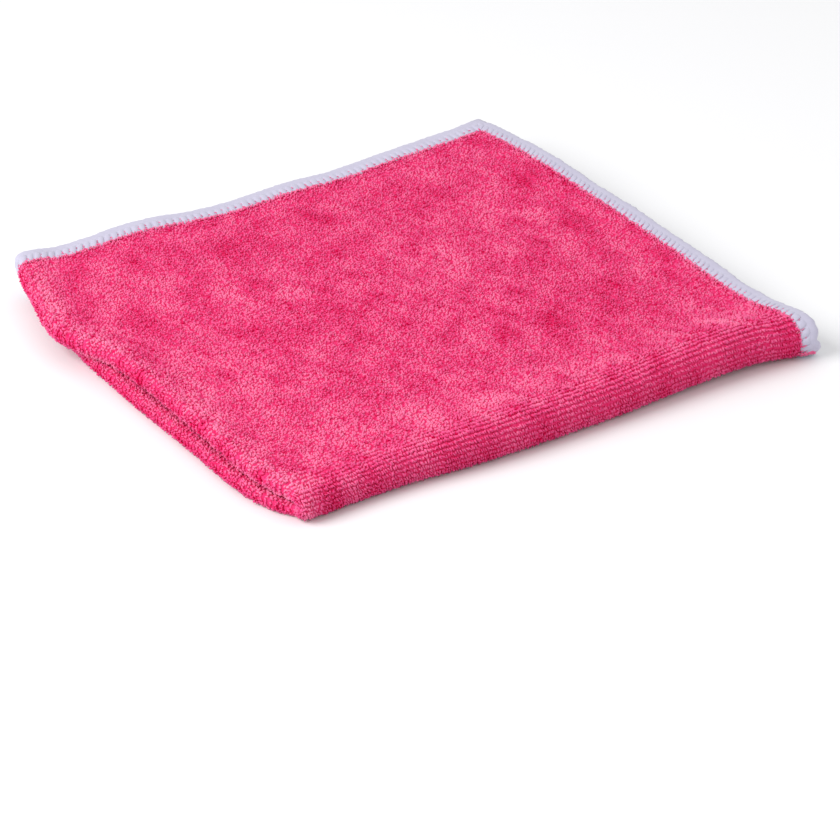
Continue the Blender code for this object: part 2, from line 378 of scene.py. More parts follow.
def crossed(across, along):
    """Two lines as the rows and the columns of a grid over the cut."""
    return Line(*(part[:, None] for part in across)), Line(*(part[None, :] for part in along))


def flats(distances, folded_length, turn):
    """The part of a line that lies flat, by distances from the fold's turn."""
    distances = np.asarray(distances, float)
    return Line(
        distances / folded_length, folded_length - distances, np.full(len(distances), turn)
    )


def turns(angles, folded_length):
    """The part of a line that goes round a fold."""
    angles = np.asarray(angles, float)
    return Line(np.zeros(len(angles)), np.full(len(angles), folded_length), angles)


def joined(*lines):
    return Line(*(np.concatenate(parts) for parts in zip(*lines)))


def over_fold(distances, angles, folded_length):
    """A line along one half, round the fold and back along the other half."""
    return joined(
        flats(distances, folded_length, 90.0),
        turns(angles, folded_length),
        flats(distances[::-1], folded_length, -90.0),
    )


def normalised(vectors):
    return vectors / np.maximum(np.linalg.norm(vectors, axis=-1, keepdims=True), 1e-9)


def ripples(x, y, size, seed):
    """Smooth noise of about unit strength, whose swells are size apart."""
    rng = np.random.default_rng(seed)
    heading = rng.uniform(0, 2 * np.pi, RIPPLES)
    rate = 2 * np.pi / (size * rng.uniform(0.7, 1.5, RIPPLES))
    start = rng.uniform(0, 2 * np.pi, RIPPLES)
    waves = sum(
        np.cos(rate[k] * (x * np.cos(heading[k]) + y * np.sin(heading[k])) + start[k])
        for k in range(RIPPLES)
    )
    return waves * math.sqrt(2 / RIPPLES)


# Meshes


def ground_line(folded_length, turn_steps, inset):
    near = folded_length - HEM_RINGS[-1] - inset
    steps = int(near / GROUND_STEP)
    distances = [folded_length - ring - inset for ring in HEM_RINGS]
    distances += [near * (1 - i / steps) for i in range(1, steps + 1)]
    angles = [90 - 180 * i / turn_steps for i in range(1, turn_steps)]
    return over_fold(distances, angles, folded_length)


def whole_cut(inset):
    """The whole cut less a strip along its raw edges."""
    return crossed(
        ground_line(FOLDED_X, GROUND_TURN_STEPS[0], inset),
        ground_line(FOLDED_Y, GROUND_TURN_STEPS[1], inset),
    )


def grid_faces(rows, columns, start, flip):
    a = start + (np.arange(rows - 1)[:, None] * columns + np.arange(columns - 1)[None, :]).ravel()
    faces = np.stack([a, a + columns, a + columns + 1, a + 1], axis=1)
    return faces[:, ::-1] if flip else faces


def rim_faces(rows, columns, start_inside):
    """Joins the two faces of the cloth round its raw edge."""
    ring = list(range(columns))
    ring += [i * columns + columns - 1 for i in range(1, rows)]
    ring += [(rows - 1) * columns + j for j in range(columns - 2, -1, -1)]
    ring += [i * columns for i in range(rows - 2, 0, -1)]
    here = np.array(ring)
    following = np.roll(here, -1)
    return np.stack([here, following, start_inside + following, start_inside + here], axis=1)


def linked(thing):
    bpy.context.scene.collection.objects.link(thing)
    return thing


def new_object(name, points, faces, material):
    """A piece from points as the fold functions place them."""
    mesh = bpy.data.meshes.new(name)
    points = (points.reshape(-1, 3) - to_middle) * MM
    mesh.from_pydata(points.tolist(), [], [tuple(face) for face in faces])
    mesh.shade_smooth()
    mesh.materials.append(material)
    return linked(bpy.data.objects.new(name, mesh))


def both_faces(across, along, depth):
    """Places on both faces of a sheet, each so far off the middle of the cloth's thickness."""
    return np.concatenate([folded(across, along, side * depth).reshape(-1, 3) for side in (1, -1)])


def knitted_ground(material):
    """The sheet itself, thinner than the cloth by the pile on both faces."""
    across, along = whole_cut(GROUND_INSET)
    edge = np.minimum(across.edge, along.edge)
    rounded = np.sqrt(1 - (1 - np.minimum((edge - GROUND_INSET) / EDGE_ROUND, 1.0)) ** 2)
    depth = (half_thickness(across, along) - GROUND_PILE) * mix(EDGE_FLAT, 1.0, rounded)
    rows, columns = edge.shape
    inside = rows * columns
    faces = np.concatenate(
        [
            grid_faces(rows, columns, 0, False),
            grid_faces(rows, columns, inside, True),
            rim_faces(rows, columns, inside),
        ]
    )
    points = both_faces(across, along, depth)
    return new_object("cloth_ground", points, faces.tolist(), material)


def middle_of_cloth():
    """How far the fold functions' places lie from the frame's, whose origin is the outline's middle."""
    across, along = whole_cut(0.0)
    points = both_faces(across, along, half_thickness(across, along))
    low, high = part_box("cloth")
    middle = (points.min(axis=0) + points.max(axis=0)) / 2
    return middle - (np.array(low) + np.array(high)) / 2 / MM


# Node trees


class Nodes:
    """A node tree that is written as calls and expressions."""

    def __init__(self, tree):
        self.tree = tree

    def add(self, kind, settings=None, **sockets):
        """A node: its settings come first, then the values or links of its sockets by name."""
        node = self.tree.nodes.new(kind)
        for name, value in (settings or {}).items():
            setattr(node, name, value)
        for name, value in sockets.items():
            self.put(node.inputs[name.replace("_", " ")], value)
        return node

    def put(self, socket, value):
        if isinstance(value, Value):
            value = value.socket
        if isinstance(value, bpy.types.NodeSocket):
            self.tree.links.new(value, socket)
        elif value is not None:
            socket.default_value = value

    def out(self, node, name=0):
        return Value(self, node.outputs[name])

    def mix_colour(self, low, high, share):
        node = self.add("ShaderNodeMix", {"data_type": "RGBA"})
        for index, value in ((0, share), (6, low), (7, high)):
            self.put(node.inputs[index], value)
        return node.outputs[2]

    def ramp(self, share, stops):
        node = self.add("ShaderNodeValToRGB", Fac=share)
        elements = node.color_ramp.elements
        while len(elements) < len(stops):
            elements.new(1.0)
        for element, (place, colour) in zip(elements, stops):
            element.position = place
            element.color = colour
        return node.outputs["Color"]


class Value:
    """A number in a node tree. Arithmetic on it adds Math nodes."""

    def __init__(self, nodes, socket):
        self.nodes = nodes
        self.socket = socket

    def _joined(self, operation, *values):
        node = self.nodes.add("ShaderNodeMath", {"operation": operation})
        for slot, value in zip(node.inputs, values):
            self.nodes.put(slot, value)
        return self.nodes.out(node)

    def __add__(self, other):
        return self._joined("ADD", self, other)

    def __radd__(self, other):
        return self._joined("ADD", other, self)

    def __sub__(self, other):
        return self._joined("SUBTRACT", self, other)

    def __rsub__(self, other):
        return self._joined("SUBTRACT", other, self)

    def __mul__(self, other):
        return self._joined("MULTIPLY", self, other)

    def __rmul__(self, other):
        return self._joined("MULTIPLY", other, self)

    def clamped(self):
        return self._joined("MINIMUM", self._joined("MAXIMUM", self, 0.0), 1.0)


def new_material(name):
    material = bpy.data.materials.new(name)
    material.use_nodes = True
    material.node_tree.nodes.clear()
    return material, Nodes(material.node_tree)


def finish_with(nodes, colour, roughness, normal, **constants):
    """Ends a material in a Principled shader: constants go on its own sockets."""
    inputs = {"Base_Color": colour, "Roughness": roughness, "Normal": normal, **constants}
    shader = nodes.add("ShaderNodeBsdfPrincipled", **inputs)
    nodes.add("ShaderNodeOutputMaterial", Surface=shader.outputs[0])


def object_noise(nodes, size, detail=2.0, distortion=0.0):
    """Noise in the piece's own coordinates whose grains are size millimetres across."""
    place = nodes.add("ShaderNodeTexCoord").outputs["Object"]
    node = nodes.add(
        "ShaderNodeTexNoise",
        Vector=place,
        Scale=1 / (size * MM),
        Detail=detail,
        Distortion=distortion,
    )
    return nodes.out(node, "Fac")


def from_mesh(nodes, name):
    return nodes.out(nodes.add("ShaderNodeAttribute", {"attribute_name": name}), "Fac")


def bump(nodes, height, strength, distance):
    node = nodes.add("ShaderNodeBump", Strength=strength, Distance=distance * MM, Height=height)
    return node.outputs["Normal"]


# The deep pink stands in for painted shade at the loops' roots, on the ground between them and in the
# folds' flanks, and also for pressed nap. The pale pink stands in for painted light at the tips and on
# the left fold, and also for raised nap.
DEEP_PINK = (0.60, 0.003, 0.070, 1.0)
MID_PINK = (0.76, 0.070, 0.230, 1.0)
PALE_PINK = (0.90, 0.240, 0.410, 1.0)
PILE_PINKS = [(0.18, DEEP_PINK), (0.50, MID_PINK), (0.96, PALE_PINK)]
# the ground between the loops is painted in the deeper pinks, as shade
PAINTED_SHADE_GROUND_PINKS = [(0.25, DEEP_PINK), (0.85, MID_PINK)]
PINK_SHEEN = (1.0, 0.30, 0.50, 1.0)
THREAD_WHITE = (0.50, 0.48, 0.60, 1.0)
THREAD_SHADE = (0.39, 0.365, 0.48, 1.0)
# How much paler the pile is painted at a loop's tip than in the painted shade at its root, from loop to
# loop and along its fibres, less the mean
PAINTED_ROOT_SHADE, LOOP_PALER, FIBRES_PALER, MEAN_PALER = 0.32, 0.10, 0.56, 0.44
HAZE_BY_NAP_AND_PAINTED_LIGHT, PALER_BY_NAP_AND_PAINTED_LIGHT = 0.35, 0.22  # raised nap and the painted highlights are less marked by these, and paler as a whole; pressed nap and the painted shade are more marked and deeper


def pile_finish():
    """Split microfibre loops: painted shade deep down at the roots and painted light at the tips, paler
    where the nap is up, with painted highlights and shade on the folds.
    """
    material, nodes = new_material("terry_pile")
    fibres = object_noise(nodes, 0.55, detail=3.0)
    nap = from_mesh(nodes, "nap")
    # the loops' heights paint shade at their roots and light at their tips; their tones differ at
    # random
    loops = from_mesh(nodes, "painted_shade_height") * PAINTED_ROOT_SHADE + from_mesh(nodes, "tone") * LOOP_PALER
    grain_with_painted_shade = loops + fibres * FIBRES_PALER - MEAN_PALER
    # raised nap and painted highlights make the pile paler, pressed nap and painted shade make it
    # deeper
    lift = grain_with_painted_shade * (1.0 - nap * HAZE_BY_NAP_AND_PAINTED_LIGHT) + nap * PALER_BY_NAP_AND_PAINTED_LIGHT + 0.5
    colour = nodes.ramp(lift.clamped(), PILE_PINKS)
    normal = bump(nodes, fibres, 0.5, 0.2)
    sheen = {"Sheen_Weight": 0.05, "Sheen_Roughness": 0.5, "Sheen_Tint": PINK_SHEEN}
    finish_with(nodes, colour, 0.9, normal, Specular_IOR_Level=0.0, **sheen)
    return material


def ground_finish():
    """Knitted ground between the loops, painted in deeper pinks as the shade they cast on it."""
    material, nodes = new_material("knitted_ground")
    grain_with_painted_shade = object_noise(nodes, 0.9, detail=3.0, distortion=0.6)
    colour = nodes.ramp(grain_with_painted_shade, PAINTED_SHADE_GROUND_PINKS)
    normal = bump(nodes, grain_with_painted_shade, 0.7, 0.4)
    finish_with(nodes, colour, 0.95, normal, Specular_IOR_Level=0.0)
    return material


def thread_finish():
    """Bulky overlock thread: soft crimped fibres in pale lavender."""
    material, nodes = new_material("overlock_thread")
    strands = object_noise(nodes, 0.5, detail=4.0, distortion=1.2)
    place = object_noise(nodes, 6.0)
    colour = nodes.mix_colour(THREAD_SHADE, THREAD_WHITE, (strands * 0.7 + place * 0.6).clamped())
    normal = bump(nodes, strands, 0.4, 0.15)
    finish_with(nodes, colour, 0.7, normal, Sheen_Weight=0.2, Sheen_Roughness=0.4)
    return material


# What is set on points

POINT_VECTORS = ("normal", "lengthwise", "size")


def set_on_points_tree():
    """Stands shapes on points, turned by each point's normal and lengthwise direction."""
    tree = bpy.data.node_groups.new("Set on points", "GeometryNodeTree")
    nodes = Nodes(tree)
    kinds = {"Points": "Geometry", "Shapes": "Collection", "Finish": "Material", "Size": "Float"}
    for name, kind in kinds.items():
        tree.interface.new_socket(name, in_out="INPUT", socket_type="NodeSocket" + kind)
    tree.interface.new_socket("Pieces", in_out="OUTPUT", socket_type="NodeSocketGeometry")
    given = nodes.add("NodeGroupInput")
    vector = {
        name: nodes.add(
            "GeometryNodeInputNamedAttribute", {"data_type": "FLOAT_VECTOR"}, Name=name
        ).outputs["Attribute"]
        for name in POINT_VECTORS
    }
    which = nodes.add("GeometryNodeInputNamedAttribute", {"data_type": "INT"}, Name="shape")
    rotation = nodes.add("FunctionNodeAxesToRotation", {"primary_axis": "Z", "secondary_axis": "X"})
    nodes.put(rotation.inputs[0], vector["normal"])
    nodes.put(rotation.inputs[1], vector["lengthwise"])
    scale = nodes.add("ShaderNodeVectorMath", {"operation": "SCALE"}, Scale=given.outputs["Size"])
    nodes.put(scale.inputs[0], vector["size"])
    shapes = nodes.add(
        "GeometryNodeCollectionInfo",
        Collection=given.outputs["Shapes"],
        Separate_Children=True,
        Reset_Children=True,
    )
    standing = nodes.add(
        "GeometryNodeInstanceOnPoints",
        Points=given.outputs["Points"],
        Instance=shapes.outputs[0],
        Pick_Instance=True,
        Instance_Index=which.outputs["Attribute"],
        Rotation=rotation.outputs[0],
        Scale=scale.outputs["Vector"],
    )
    real = nodes.add("GeometryNodeRealizeInstances", Geometry=standing.outputs[0])
    finished = nodes.add(
        "GeometryNodeSetMaterial", Geometry=real.outputs[0], Material=given.outputs["Finish"]
    )
    nodes.add("NodeGroupOutput", Pieces=finished.outputs[0])
    return tree


Setting = namedtuple("Setting", "places normal lengthwise size tone nap")


def set_on_points(tree, name, setting, shapes, material):
    """One plain mesh of shapes on points. The points' places and sizes are in millimetres."""
    mesh = bpy.data.meshes.new(name)
    mesh.from_pydata(((setting.places - to_middle) * MM).tolist(), [], [])
    for key in POINT_VECTORS:
        values = np.ascontiguousarray(getattr(setting, key), np.float32)
        mesh.attributes.new(key, "FLOAT_VECTOR", "POINT").data.foreach_set("vector", values.ravel())
    for key in ("tone", "nap"):
        values = np.ascontiguousarray(getattr(setting, key), np.float32)
        mesh.attributes.new(key, "FLOAT", "POINT").data.foreach_set("value", values)
    which = (np.arange(len(setting.places)) % len(shapes.objects)).astype(np.int32)
    mesh.attributes.new("shape", "INT", "POINT").data.foreach_set("value", which)
    carrier = linked(bpy.data.objects.new(name + "_points", mesh))
    modifier = carrier.modifiers.new("Set on points", "NODES")
    modifier.node_group = tree
    given = {"Shapes": shapes, "Finish": material, "Size": MM}
    for item in tree.interface.items_tree:
        if item.name in given:
            modifier[item.identifier] = given[item.name]
    graph = bpy.context.evaluated_depsgraph_get()
    made = bpy.data.meshes.new_from_object(carrier.evaluated_get(graph))
    made.name = name
    bpy.data.objects.remove(carrier)
    bpy.data.meshes.remove(mesh)
    made.shade_smooth()
    piece = linked(bpy.data.objects.new(name, made))
    spread_map(piece, len(setting.places))
    return rest_on_floor(piece)


def spread_map(piece, count):
    """Gives each shape its own cell of the piece's map."""
    mesh = piece.data
    cells = math.ceil(math.sqrt(count))
    uv = mesh.uv_layers["OFBake"].data
    places = np.empty(len(uv) * 2, np.float32)
    uv.foreach_get("uv", places)
    places = places.reshape(count, -1, 2)
    cell = np.arange(count)
    corner = np.stack([cell % cells, cell // cells], axis=-1)[:, None, :]
    uv.foreach_set("uv", ((places + corner) / cells).astype(np.float32).ravel())


def rest_on_floor(piece):
    """Presses what would stand below the surface that the cloth lies on into its lowest layer."""
    count = len(piece.data.vertices)
    points = np.empty(count * 3, np.float32)
    piece.data.vertices.foreach_get("co", points)
    points = points.reshape(-1, 3)
    low = points[:, 2] < PRESSED * MM
    points[low, 2] = PRESSED * MM * np.exp(points[low, 2] / (PRESSED * MM) - 1)
    piece.data.vertices.foreach_set("co", points.ravel())
    return piece


def shape_collection(name, meshes):
    """Shapes to choose from, out of the scene."""
    collection = bpy.data.collections.new(name)
    for k, mesh in enumerate(meshes):
        collection.objects.link(bpy.data.objects.new(f"{name}_{k}", mesh))
    return collection


def drop(collection):
    for obj in list(collection.objects):
        bpy.data.objects.remove(obj)
    bpy.data.collections.remove(collection)


def shape_mesh(name, points, faces, corners):
    """A closed shape with its heights kept to paint shade at its roots, and a map of its corners in the
    unit square.
    """
    mesh = bpy.data.meshes.new(name)
    mesh.from_pydata(points, [], faces)
    painted_shade_height = mesh.attributes.new("painted_shade_height", "FLOAT", "POINT")
    painted_shade_height.data.foreach_set("value", [point[2] for point in points])
    uv = mesh.uv_layers.new(name="OFBake")
    uv.data.foreach_set("uv", np.array(corners, np.float32).ravel())
    mesh.shade_smooth()
    return mesh


# Pile

# Each loop's crown at its two shoulders: how far along it, how far aside, and how high
Crown = namedtuple("Crown", "first_along first_aside first_high second_along second_aside second_high")
CROWNS = [
    Crown(-0.24, -0.16, 0.92, 0.22, 0.14, 1.00),
    Crown(-0.20, 0.18, 1.00, 0.26, -0.10, 0.84),
    Crown(-0.28, 0.02, 0.84, 0.16, -0.20, 1.00),
    Crown(-0.16, -0.08, 1.00, 0.28, 0.20, 0.90),
    Crown(-0.22, 0.12, 0.88, 0.20, 0.10, 1.00),
]


def loop_mesh(k, crown):
    """One loop of pile, 1 long, 1 wide and 1 high: a ridge that comes to a point at both ends."""
    left, right = -0.5, 0.5
    points = [
        (left, -0.3 * crown.first_aside, 0.0),
        (crown.first_along, -0.5, 0.0),
        (crown.first_along, 0.5, 0.0),
        (crown.first_along, crown.first_aside, crown.first_high),
        (crown.second_along, -0.5, 0.0),
        (crown.second_along, 0.5, 0.0),
        (crown.second_along, crown.second_aside, crown.second_high),
        (right, -0.3 * crown.second_aside, 0.0),
    ]
    faces = [
        (0, 1, 3), (0, 3, 2), (0, 2, 1),
        (1, 4, 6, 3), (3, 6, 5, 2), (2, 5, 4, 1),
        (7, 6, 4), (7, 5, 6), (7, 4, 5),
    ]
    # The map unrolls the ridge: along it from 0.1 to 0.9, and round it in three strips
    low, near, far, high = 0.1, 0.35, 0.65, 0.9
    strip = [0.1, 0.366, 0.634, 0.9]
    middle = [(strip[i] + strip[i + 1]) / 2 for i in range(3)]
    corners = []
    for i in range(3):
        corners += [(low, middle[i]), (near, strip[i]), (near, strip[i + 1])]
    for i in range(3):
        corners += [(near, strip[i]), (far, strip[i]), (far, strip[i + 1]), (near, strip[i + 1])]
    for i in range(3):
        corners += [(high, middle[i]), (far, strip[i + 1]), (far, strip[i])]
    return shape_mesh(f"loop_{k}", points, faces, corners)


def nap_and_painted_light_at(x, y):
    """How far the nap of the top is brushed up, or pressed down where it is negative, with painted
    shade where the pile parts and a painted highlight along the left fold's ridge.
    """
    raised = sum(nap.raised * fade(np.hypot(x - nap.x, y - nap.y), nap.reach) for nap in NAPS)
    for k, (size, height) in enumerate(NAP_WAVES):
        raised = raised + height * ripples(x, y, size, SEED + k)
    first, second = (ripples(x, y, size, SEED + 9 + k) for k, size in enumerate(PARTED_SIZES))
    # the spots where the pile parts are painted deeper, as shade
    parted_in_shade = smooth_step(first * second - PARTED_FROM)
    # the left fold's ridge is painted paler, as a highlight with speckles of raised nap
    size, height = RIDGE_WAVES
    ridge_nap_and_highlight = RIDGE_NAP_AND_HIGHLIGHT + height * ripples(x, y, size, SEED + 11)
    return raised - PARTED_SHADE * parted_in_shade + ridge_nap_and_highlight * fade(x - RIDGE_IN, RIDGE_REACH)


def pile_patch(tree, name, shapes, material, across, rows, picked, rng):
    """The loops of one patch of the cloth as one piece."""
    rows = Line(*(part[picked] for part in rows))
    grid_across, grid_along = crossed(across, rows)
    shape = (len(across.flat), len(rows.flat))
    half = half_thickness(grid_across, grid_along)
    root = half - ROOT_DEPTH
    places = folded(grid_across, grid_along, root)
    normal = normalised(folded(grid_across, grid_along, root + 1.0) - places)
    along_row = normalised(np.gradient(places, axis=0))
    over_rows = normalised(np.gradient(places, axis=1))

    x = np.broadcast_to(grid_across.flat * FOLDED_X, shape)
    y = np.broadcast_to(grid_along.flat * FOLDED_Y, shape)
    depth, size = ROWS_END
    uneven = depth * ripples(x, y, size, SEED + 7)
    turning = np.broadcast_to(fade(x, ORDER_REACH_LEFT), shape)
    order = np.maximum(fade(np.maximum(y + uneven, 0), ORDER_REACH_FRONT), LEFT_ORDER * turning)
    number = np.broadcast_to(picked[None, :], shape)
    kept = (number % 2 == 0) | (rng.random(shape) > order * ODD_ROWS_THIN)
    upper = (1 + np.broadcast_to(np.sin(np.radians(grid_along.turn)), shape)) / 2
    size, height = HIDDEN_WAVES
    nap = np.where(upper > 0.995, nap_and_painted_light_at(x, y), height * ripples(x, y, size, SEED + 2))
    # near the front fold the pile is painted deeper, as shade
    rolled = fade(y, ORDER_REACH_FRONT) * (1 - turning)
    # round the left fold the pile is painted paler, as a highlight with raised nap
    nap = nap + turning * mix(*LEFT_FOLD_NAP_AND_HIGHLIGHT, upper) + rolled * mix(*FRONT_FOLD_SHADE, upper)
    # the left fold's flank is painted deeper pink, as shade
    nap = nap - FLANK_SHADE * fade(grid_across.turn - FLANK_AT, FLANK_REACH)

    loop = Loop(*(mix(brushed, in_row, order) for brushed, in_row in zip(BRUSHED, IN_ROWS)))
    stagger = WALE / 4 * np.where(number // 2 % 2 == 0, 1, -1) * order
    stray = rng.uniform(-1, 1, (2, *shape)) * loop.stray
    clump = np.stack([ripples(x, y, CLUMP_SIZE, SEED + 3 + k) for k in range(2)])
    aside, ahead = stray + clump * CLUMP_STRAY * (1 - order)
    places = places + along_row * (aside + stagger)[..., None] + over_rows * ahead[..., None]
    angle = rng.normal(0, 1, shape) * loop.turn + ROW_SLANT * order
    lengthwise = over_rows * np.cos(angle)[..., None] + along_row * np.sin(angle)[..., None]
    lean = rng.normal(0, 1, (*shape, 2)) * loop.lean[..., None]
    normal = normalised(normal + along_row * lean[..., :1] + over_rows * lean[..., 1:])
    raised = np.clip(nap, -1, 1) * (1 - order)
    size = np.stack(
        [
            loop.length * rng.uniform(*LENGTH_VARIES, shape),
            (loop.width + RAISED_WIDER * raised) * rng.uniform(*WIDTH_VARIES, shape),
            (loop.height - RAISED_LOWER * raised) * rng.uniform(*HEIGHT_VARIES, shape),
        ],
        axis=-1,
    )
    setting = Setting(places, normal, lengthwise, size, rng.random(shape), nap)
    setting = Setting(*(part[kept] for part in setting))
    return set_on_points(tree, name, setting, shapes, material)


def pile_pieces(tree, shapes, material):
    rng = np.random.default_rng(SEED)
    last_wale = FOLDED_X - PILE_STOPS["right"]
    wales = np.arange(FIRST_WALE, last_wale, WALE)
    deep = np.arange(FIRST_ROW, FOLDED_Y - PILE_STOPS["back"], HALF_ROW)
    angles = 90 - 180 * (np.arange(FRONT_TURN_ROWS) + 0.5) / FRONT_TURN_ROWS
    rows = over_fold(deep[::-1], angles, FOLDED_Y)
    numbers = np.arange(len(rows.flat))
    on_top, round_front, below = np.split(numbers, [len(deep), len(deep) + FRONT_TURN_ROWS])
    left_angles = np.linspace(-LEFT_TURN, LEFT_TURN, LEFT_TURN_ROWS)
    crease = np.arange(CREASE_DEPTH, CREASE_MOUTH, -WALE)
    left = joined(flats(crease, FOLDED_X, -90.0), turns(left_angles, FOLDED_X))
    under_wales = np.arange(FIRST_WALE, last_wale, UNDERSIDE_WALE)
    thirds = [flats(third, FOLDED_X, 90.0) for third in np.array_split(wales, 3)]
    patches = {
        "pile_top_left": (thirds[0], on_top),
        "pile_top_middle": (thirds[1], on_top),
        "pile_top_right": (thirds[2], on_top),
        "pile_front_fold": (flats(wales, FOLDED_X, 90.0), round_front),
        "pile_left_fold": (left, numbers),
        "pile_underside": (flats(under_wales, FOLDED_X, 90.0), below[::2] - below[0] % 2),
    }
    return [
        pile_patch(tree, name, shapes, material, across, rows, picked, rng)
        for name, (across, picked) in patches.items()
    ]


# Overlock

# Section of the thread's bed over the raw edge, from its inner border: how far in from the edge
# each place lies, as a share of the overlock's width, and how high, of half the hem's thickness
Bed = namedtuple("Bed", "inward high")
BED = [
    Bed(0.99, 0.62),
    Bed(0.92, 0.86),
    Bed(0.72, 1.00),
    Bed(0.52, 1.08),
    Bed(0.31, 1.12),
    Bed(0.14, 1.02),
    Bed(0.01, 0.70),
    Bed(-0.04, 0.0),
]
# One stitch on that bed: the same, and half its width as a share of the pitch
Stitch = namedtuple("Stitch", "inward high wide")
STITCH = [
    Stitch(1.03, 0.66, 0.30),
    Stitch(0.97, 0.97, 0.42),
    Stitch(0.82, 1.14, 0.47),
    Stitch(0.68, 1.21, 0.48),
    Stitch(0.55, 1.21, 0.46),
    Stitch(0.40, 1.03, 0.38),
]
# Round a stitch's strand: how far aside and how far up, as shares of its half width and thickness
Strand = namedtuple("Strand", "aside up")
STRAND = [
    Strand(0.0, 1.0),
    Strand(-0.72, 0.8),
    Strand(-0.97, 0.0),
    Strand(-0.5, -1.0),
    Strand(0.5, -1.0),
    Strand(0.97, 0.0),
    Strand(0.72, 0.8),
]


def raw_edge(side, half_turn):
    """One raw edge from the back corner round the fold: a function that gives places so far
    along it, in from it and off the hem's middle, and its length."""
    right = side == "right"
    length, across_length = (FOLDED_Y, FOLDED_X) if right else (FOLDED_X, FOLDED_Y)
    distances = np.linspace(length - EDGE_FROM, 0.0, EDGE_STEPS)
    angles = np.linspace(90, -90, EDGE_TURN_STEPS)[1:-1]
    fine = over_fold(distances, angles, length)

    def places(line, inward, depth):
        cross = Line(1 - inward / across_length, inward, half_turn)
        return folded(cross, line, depth) if right else folded(line, cross, depth)

    edge = places(fine, 0.0, 0.0)
    run = np.concatenate([[0.0], np.cumsum(np.linalg.norm(np.diff(edge, axis=0), axis=1))])

    def at(step, inward, depth):
        return places(Line(*(np.interp(step, run, part) for part in fine)), inward, depth)

    return at, run[-1]


def mirrored(side, half_turn):
    """Whether in, along and out make a left-handed frame on that edge."""
    return (side == "right") == (half_turn > 0)


def even_steps(length, spacing):
    return np.linspace(0, length, int(length / spacing) + 1)


def overlock_bed(name, side, half_turn, material, seed):
    """The looped thread that lies close over the raw edge, as one closed strip."""
    at, length = raw_edge(side, half_turn)
    steps = even_steps(length, BED_STEP)[:, None]
    section = [(bed.inward, bed.high) for bed in BED]
    section += [(bed.inward, -bed.high) for bed in BED[-2::-1]]
    shares, heights = np.array(section).T
    inward = shares * OVERLOCK_WIDTH[side]
    wave = sum(ripples(steps, 0 * steps, size, seed + k) for k, size in enumerate(BED_WAVES))
    wraps = np.cos(2 * np.pi * steps / STITCH_PITCH) * fade(inward, WRAP_REACH)
    outward = BED_WAVE_DEPTH * wave * fade(inward, BED_WAVE_REACH) + WRAP_DEPTH * wraps
    rings = at(steps, inward - outward, heights * (HEM / 2 + WRAP_DEPTH * wraps))
    count, sides = len(steps), len(section)
    faces = []
    for i in range(count - 1):
        for s in range(sides):
            a, b = i * sides + s, i * sides + (s + 1) % sides
            faces.append((a, b, b + sides, a + sides))
    faces.append(tuple(range(sides))[::-1])
    faces.append(tuple((count - 1) * sides + s for s in range(sides)))
    if mirrored(side, half_turn):
        faces = [face[::-1] for face in faces]
    return rest_on_floor(new_object(name, rings, faces, material))


def stitch_shape():
    """One stitch, a flattened strand: its points on the overlock as (inward share, aside in
    pitches, height), its faces, and a map of their corners in the unit square."""
    # The map has the strand's sides on the left, unrolled, and its two ends as discs on the right
    border, wide, tall = 0.05, 0.7, 0.9
    disc_at, disc_radius = 0.88, 0.09
    points, corners, faces = [], [], []
    for stitch in STITCH:
        for strand in STRAND:
            high = stitch.high * HEM / 2 + (strand.up - 1) * THREAD_THICK / 2
            points.append((stitch.inward, strand.aside * stitch.wide, high))
    rings, sides = len(STITCH), len(STRAND)
    for i in range(rings - 1):
        for s in range(sides):
            a, b = i * sides + s, i * sides + (s + 1) % sides
            faces.append((a, a + sides, b + sides, b))
            u0, u1 = (border + wide * k / (rings - 1) for k in (i, i + 1))
            v0, v1 = (border + tall * k / sides for k in (s, s + 1))
            corners += [(u0, v0), (u1, v0), (u1, v1), (u0, v1)]
    for first, centre in ((0, 0.25), ((rings - 1) * sides, 0.75)):
        ring = tuple(first + s for s in range(sides))
        faces.append(ring if first == 0 else ring[::-1])
        for s in range(sides):
            turn = 2 * math.pi * s / sides
            aside, up = disc_radius * math.cos(turn), disc_radius * math.sin(turn)
            corners.append((disc_at + aside, centre + up))
    return points, faces, corners


def stitches(name, side, half_turn, slant, material, rng):
    """The stitches of one raw edge, each laid on it with its own length and width."""
    at, length = raw_edge(side, half_turn)
    steps = even_steps(length, STITCH_PITCH)[1:-1, None]
    count = len(steps)
    points, faces, corners = stitch_shape()
    shares, asides, heights = np.array(points).T
    inward = shares * OVERLOCK_WIDTH[side] * rng.uniform(*REACH_VARIES, (count, 1))
    aside = asides * STITCH_PITCH * rng.uniform(*WIDE_VARIES, (count, 1))
    if not mirrored(side, half_turn):
        aside = -aside
    aside = aside + slant * (inward - SLANT_FROM)
    places = at(steps + aside, inward, heights * rng.uniform(*HIGH_VARIES, (count, 1)))
    all_faces = [
        tuple(k * len(points) + corner for corner in face) for k in range(count) for face in faces
    ]
    piece = new_object(name, places, all_faces, material)
    layer = piece.data.uv_layers.new(name="OFBake")
    layer.data.foreach_set("uv", np.tile(np.array(corners, np.float32), (count, 1)).ravel())
    spread_map(piece, count)
    return rest_on_floor(piece)


